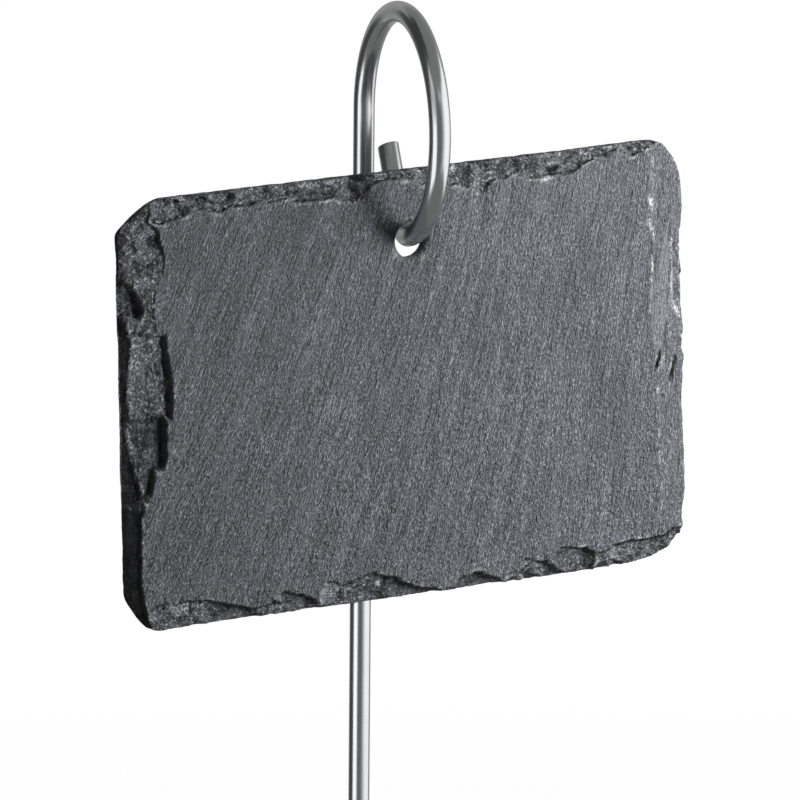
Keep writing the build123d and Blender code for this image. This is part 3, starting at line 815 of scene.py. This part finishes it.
                # Painted shade: a break is darkest below its step, where the step shades it, and clears
                # towards the rim.
                tone *= 1 - 0.5 * smooth_step(1, 3.5, inside) if tone < dark_tone else 1
                dark = max(tone * smooth_step(0, 0.4, inside), 0.2 * cliff) if tone >= 0 else tone
            fracture = max(fracture, fresh * smooth_step(0, 0.6, inside))
        reach, drop, _ = RIMS[self.rim_points[index]]
        least_reach = 0.4
        worn = 1 - smooth_step(0, max(reach + 1.2 * wander, least_reach), edge)
        depth += drop * worn
        # No painted highlight shows on the lips inside the darkest breaks, which are in painted shade.
        lip *= 1 - smooth_step(0.6, 1.4, shaded)
        return max(depth, 0), max(fracture, worn), dark, lip

    def chips(self, x, z, size, slope):
        """How far chips of a size, each broken to its own slope, stand below or above the break."""
        _, middles = noise.voronoi((x / size, z / size, size))
        lean = noise.noise_vector(middles[0] * 7.3)
        return size * slope * (lean.x * (x / size - middles[0].x) + lean.y * (z / size - middles[0].y))

    def bruise(self, x, z):
        """How pale the hammer bruised a point."""
        most = 0
        near_x, near_z = 2.5, 4
        for x_0, z_0, x_1, z_1, width, strength in MARKS:
            if abs(z - (z_0 + z_1) / 2) > near_z or abs(x - x_0) > near_x:
                continue
            along = Vector((x_1 - x_0, z_1 - z_0))
            away = Vector((x - x_0, z - z_0))
            away -= along * min(max(away.dot(along) / along.length_squared, 0), 1)
            gap = away.length + 0.25 * ripple(x, z, 0.5, 9)
            most = max(most, strength * (1 - smooth_step(0.2 * width, width, gap)))
        return most


class PLANT_LABEL_OT_rive_slate_plate(bpy.types.Operator):
    """Split, drill and dress the slate plate and hang it on the hook."""

    bl_idname = "plant_label.rive_slate_plate"
    bl_label = "Rive slate plate"

    def execute(self, context):
        slate = context.scene.plant_label_slate
        noise.seed_set(slate.seed)
        shape = SlateShape(slate)
        columns, rows = len(shape.across) - 1, len(shape.upward) - 1
        bm = bmesh.new()
        grain = bm.verts.layers.float_vector.new("grain")
        fracture, bruise, deep = (bm.verts.layers.float.new(name) for name in ("fracture", "bruise", "deep"))
        bmesh.ops.create_grid(bm, x_segments=columns, y_segments=rows, size=0.5)
        for vert in bm.verts:
            vert.co = shape.point(round((vert.co.x + 0.5) * columns), round((vert.co.y + 0.5) * rows))

        # The drilled hole: points inside it go, and the ring round them is drawn onto its circle.
        middle, radius = shape.hole_middle, shape.hole_radius
        inset, blend, blend_rounds = 0.2, 4, 6
        inside = [vert for vert in bm.verts if (vert.co - middle).length < radius - inset]
        bmesh.ops.delete(bm, geom=inside, context="VERTS")
        near = [vert for vert in bm.verts if (vert.co - middle).length < radius + blend]
        ring = [vert for vert in near if vert.is_boundary]
        ring.sort(key=lambda vert: math.atan2(vert.co.z - middle.z, vert.co.x - middle.x))
        for number, vert in enumerate(ring):
            turn = math.tau * (number + 0.5) / len(ring) - math.pi
            vert.co = middle + radius * Vector((math.cos(turn), 0, math.sin(turn)))
        around = [vert for vert in near if not vert.is_boundary]
        for _ in range(blend_rounds):
            bmesh.ops.smooth_vert(bm, verts=around, factor=0.5, use_axis_x=True, use_axis_z=True)

        # The back face is a copy of the front, and the edge between them is one strip.
        front = bm.verts[:]
        sheet = bm.faces[:] + bm.edges[:] + bm.verts[:]
        made = bmesh.ops.extrude_face_region(bm, geom=sheet, use_keep_orig=True)
        back = verts_of(made["geom"])
        least_wall, rim_dip = 0.5, 0.2
        hole_chip_depth, hole_chip_width = 0.35, 0.7
        for vert in front:
            x, z = vert.co.x, vert.co.z
            depth, broken, dark, lip = shape.dressed(x, z)
            drilled = (vert.co - middle).length - radius + 0.25 * ripple(x, z, 1, 6)
            chipped = hole_chip_depth * (1 - smooth_step(0, hole_chip_width, drilled))
            depth += shape.face_relief(x, z, 0) * (1 - broken) + rim_dip * broken + chipped
            vert.co.y = -shape.thickness / 2 + min(depth, shape.thickness - least_wall)
            vert[grain] = (*shape.grain(x, z), depth)
            vert[fracture] = max(broken, chipped)
            # Hammer bruises, and the painted highlight along the lips of deep breaks.
            vert[bruise] = max(shape.bruise(x, z), lip)
            # The painted shade of the breaks.
            vert[deep] = dark
        # The back is calmer than the front, with small chips along its edge.
        back_seed, back_calm, back_chip_depth = 30, 0.6, 0.4
        for vert in back:
            x, z = vert.co.x, vert.co.z
            edge = shape.find.find(Vector((x, 0, z)))[2]
            chip = 0.9 + 0.7 * ripple(x, z, 5, 20) + 0.3 * ripple(x, z, 1.5, 21)
            broken = 1 - smooth_step(0.2, max(chip, 0.3), edge)
            dip = back_calm * shape.face_relief(x, z, back_seed)
            vert.co.y = shape.thickness / 2 - dip - back_chip_depth * broken
            vert[grain] = (*shape.grain(x, z), vert.co.y)
            vert[fracture] = broken
        # The edge wears in unevenly, apart from the wall of the hole.
        fronts = set(front)
        walls = [edge for edge in bm.edges if (edge.verts[0] in fronts) != (edge.verts[1] in fronts)]
        cut = bmesh.ops.subdivide_edges(bm, edges=walls, cuts=3, use_grid_fill=True)["geom_inner"]
        hole_margin = 1
        for vert in verts_of(cut):
            spot = vert.co
            flat = Vector((spot.x, 0, spot.z))
            if (flat - middle).length < radius + hole_margin:
                continue
            centre = Vector(((shape.left + shape.right) / 2, spot.y, (shape.top + shape.bottom) / 2))
            wear = 0.22 * (1 + noise.noise(spot / 1.3)) + 0.10 * (1 + noise.noise(spot / 0.5))
            vert.co += (centre - spot).normalized() * wear
            vert[fracture] = 1
            # Painted shade on the wall, by the side of the plate that it faces.
            side = shape.rim_points[shape.find.find(Vector((spot.x, 0, spot.z)))[1]]
            _, _, vert[deep] = RIMS[side]

        turn = math.atan2(facing.x, -facing.y)
        hang = Matrix.Translation(pivot) @ Matrix.Rotation(turn, 4, "Z") @ Matrix.Rotation(slate.tilt, 4, "Y")
        bmesh.ops.transform(bm, matrix=hang @ Matrix.Scale(MM, 4), verts=bm.verts[:])
        piece = new_piece("riven_plate", bm, slate_material(slate))
        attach(piece, "plate")
        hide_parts("slate_plate")
        return {"FINISHED"}


# Studio


def seen_share(tree):
    """1 for what the camera sees, straight or in reflections or through something clear, and 0 otherwise."""
    rays = add(tree, "LightPath").node.outputs
    seen = rays["Is Camera Ray"]
    for ray in ("Is Glossy Ray", "Is Transmission Ray"):
        seen = add(tree, "Math", {0: seen, 1: rays[ray]}, operation="MAXIMUM")
    return seen


def floor_material(studio):
    """Matt white paper, which is white to the camera and keeps the stake's shadow."""
    material, tree = new_material("matt_white_paper")
    # The lamps light the paper near the stake, and it lights itself more further off.
    place = add(tree, "TexCoord", out="Object")
    away = add(tree, "VectorMath", {0: place}, out="Value", operation="LENGTH")
    span = {"From Min": 0.3, "From Max": 1.4, "To Min": 0.87, "To Max": 1}
    glow = add(tree, "MapRange", {"Value": away, **span})
    glow = add(tree, "Math", {0: glow, 1: seen_share(tree)}, operation="MULTIPLY")
    light = add(tree, "Emission", {"Color": (1, 1, 1, 1), "Strength": glow})
    matt = add(tree, "BsdfDiffuse", {"Color": (*studio.floor, 1)})
    both = add(tree, "AddShader", {0: matt, 1: light})
    add(tree, "OutputMaterial", {"Surface": both})
    return material


def card_material(name, tone):
    """Card of one tone, dark or bright, which shows only as a band of the steel's reflections."""
    material, tree = new_material(name)
    card = add(tree, "Emission", {"Color": (1, 1, 1, 1), "Strength": tone})
    add(tree, "OutputMaterial", {"Surface": card})
    return material


def white_world():
    """White all round for the camera and for reflections, and a soft even light on the object."""
    world = bpy.data.worlds.new("white_studio")
    world.use_nodes = True
    tree = world.node_tree
    tree.nodes.clear()
    even_light = 0.04
    strength = add(tree, "MapRange", {"Value": seen_share(tree), "To Min": even_light, "To Max": 1})
    backdrop = add(tree, "Background", {"Color": (1, 1, 1, 1), "Strength": strength})
    add(tree, "OutputWorld", {"Surface": backdrop})
    return world


def bearing(azimuth, elevation):
    """The direction to something that stands at an azimuth to the right of the front, and at an elevation."""
    level = math.cos(elevation)
    return Vector((math.sin(azimuth) * level, -math.cos(azimuth) * level, math.sin(elevation)))


plate_middle = pivot - Vector((0, 0, 33 * MM))


def stand(azimuth, elevation, distance):
    """The place of something that faces the plate, from degrees round and above it and a distance."""
    way = bearing(math.radians(azimuth), math.radians(elevation))
    turn = way.to_track_quat("Z", "Y").to_matrix().to_4x4()
    return Matrix.Translation(plate_middle + way * distance) @ turn


# Soft boxes: name, azimuth, elevation, distance in metres, width, height and power in watts.
SOFT_BOXES = (
    ("key_light", 36, 15, 0.38, 0.10, 0.13, 2.25),
    ("side_light", 76, 12, 0.26, 0.10, 0.16, 0.72),
    ("top_light", 150, 62, 0.70, 0.50, 0.50, 1.4),
    ("back_light", 170, 26, 0.70, 0.40, 0.40, 4.5),
)

# Cards that only reflections see: name, azimuth, elevation, distance in metres, width, height and tone.
CARDS = (
    ("front_card", -24.5, 0, 0.52, 0.58, 0.74, 0.16),
    ("front_fade", 15, 0, 0.52, 0.19, 0.74, 0.55),
    ("right_strip", 64.5, 4, 0.52, 0.81, 0.80, 1.40),
    ("right_card", 128, 0, 0.52, 0.46, 0.90, 0.32),
    ("back_card", 178, 4, 0.54, 0.54, 0.80, 0.38),
    ("left_card", -125, 0, 0.52, 0.63, 0.80, 0.06),
    ("left_strip", -73, -11.5, 0.52, 0.40, 0.46, 1.60),
    ("left_fade", -73, 22, 0.54, 0.41, 0.19, 0.60),
    ("left_shade", -114, 52, 0.45, 0.36, 0.42, 0.05),
    ("roof_card", 0, 89, 0.45, 1.10, 1.10, 0.24),
    ("floor_card", 0, -90, 0.332, 1.10, 1.10, 0.20),
)


class PLANT_LABEL_OT_set_studio(bpy.types.Operator):
    """Set the floor, the light and the camera."""

    bl_idname = "plant_label.set_studio"
    bl_label = "Set studio"

    def execute(self, context):
        scene = context.scene
        studio = scene.plant_label_studio
        scene.view_settings.view_transform = "Standard"
        scene.world = white_world()
        wire = scene.plant_label_wire
        floor_size, sensor_width = 9, 36

        bm = bmesh.new()
        at_foot = Matrix.Translation((0, 0, wire_low.z))
        bmesh.ops.create_grid(bm, x_segments=6, y_segments=6, size=floor_size, matrix=at_foot)
        new_piece("studio_floor", bm, floor_material(studio))

        for name, azimuth, elevation, distance, width, height, tone in CARDS:
            bm = bmesh.new()
            bmesh.ops.create_grid(bm, x_segments=1, y_segments=1, size=0.5)
            bmesh.ops.scale(bm, vec=(width, height, 1), verts=bm.verts[:])
            bmesh.ops.transform(bm, matrix=stand(azimuth, elevation, distance), verts=bm.verts[:])
            card = new_piece(name, bm, card_material(name, tone))
            card.visible_camera = card.visible_diffuse = card.visible_shadow = False

        for name, azimuth, elevation, distance, width, height, power in SOFT_BOXES:
            lamp = bpy.data.lights.new(name, "AREA")
            lamp.shape = "RECTANGLE"
            lamp.size, lamp.size_y = width, height
            lamp.energy = power
            box = bpy.data.objects.new(name, lamp)
            box.matrix_world = stand(azimuth, elevation, distance)
            box.visible_camera = box.visible_glossy = False
            scene.collection.objects.link(box)

        camera = bpy.data.objects.new("camera", bpy.data.cameras.new("camera"))
        camera.data.sensor_width = sensor_width
        camera.data.lens = studio.lens
        back = bearing(studio.azimuth, studio.elevation)
        turn = back.to_track_quat("Z", "Y")
        right, up = turn @ Vector((1, 0, 0)), turn @ Vector((0, 1, 0))
        loop_middle = Vector((0, 0, wire_high.z - wire.loop / 2 - wire.diameter / 2))
        aim = loop_middle + right * studio.aim_right - up * studio.aim_below
        camera.location = aim + back * studio.distance
        camera.rotation_mode = "QUATERNION"
        camera.rotation_quaternion = turn @ Matrix.Rotation(-studio.roll, 3, "Z").to_quaternion()
        scene.collection.objects.link(camera)
        scene.camera = camera
        return {"FINISHED"}


class PLANT_LABEL_PT_panel(bpy.types.Panel):
    """Sizes and steps of the plant label stake."""

    bl_idname = "PLANT_LABEL_PT_panel"
    bl_label = "Plant label stake"
    bl_space_type = "VIEW_3D"
    bl_region_type = "UI"
    bl_category = "Plant label"

    def draw(self, context):
        for settings, _, operator in STEPS:
            box = self.layout.box()
            group = getattr(context.scene, settings)
            for name in group.bl_rna.properties.keys():
                if name not in ("rna_type", "name"):
                    box.prop(group, name)
            box.operator(operator.bl_idname)


STEPS = (
    ("plant_label_wire", WireSettings, PLANT_LABEL_OT_bend_wire_stake),
    ("plant_label_slate", SlateSettings, PLANT_LABEL_OT_rive_slate_plate),
    ("plant_label_studio", StudioSettings, PLANT_LABEL_OT_set_studio),
)


def register():
    for name, settings, operator in STEPS:
        bpy.utils.register_class(settings)
        bpy.utils.register_class(operator)
        setattr(bpy.types.Scene, name, PointerProperty(type=settings))
    bpy.utils.register_class(PLANT_LABEL_PT_panel)


def unregister():
    bpy.utils.unregister_class(PLANT_LABEL_PT_panel)
    for name, settings, operator in reversed(STEPS):
        delattr(bpy.types.Scene, name)
        bpy.utils.unregister_class(operator)
        bpy.utils.unregister_class(settings)


def main():
    register()
    bpy.ops.plant_label.bend_wire_stake()
    bpy.ops.plant_label.rive_slate_plate()
    bpy.ops.plant_label.set_studio()


if __name__ == "__main__":
    main()
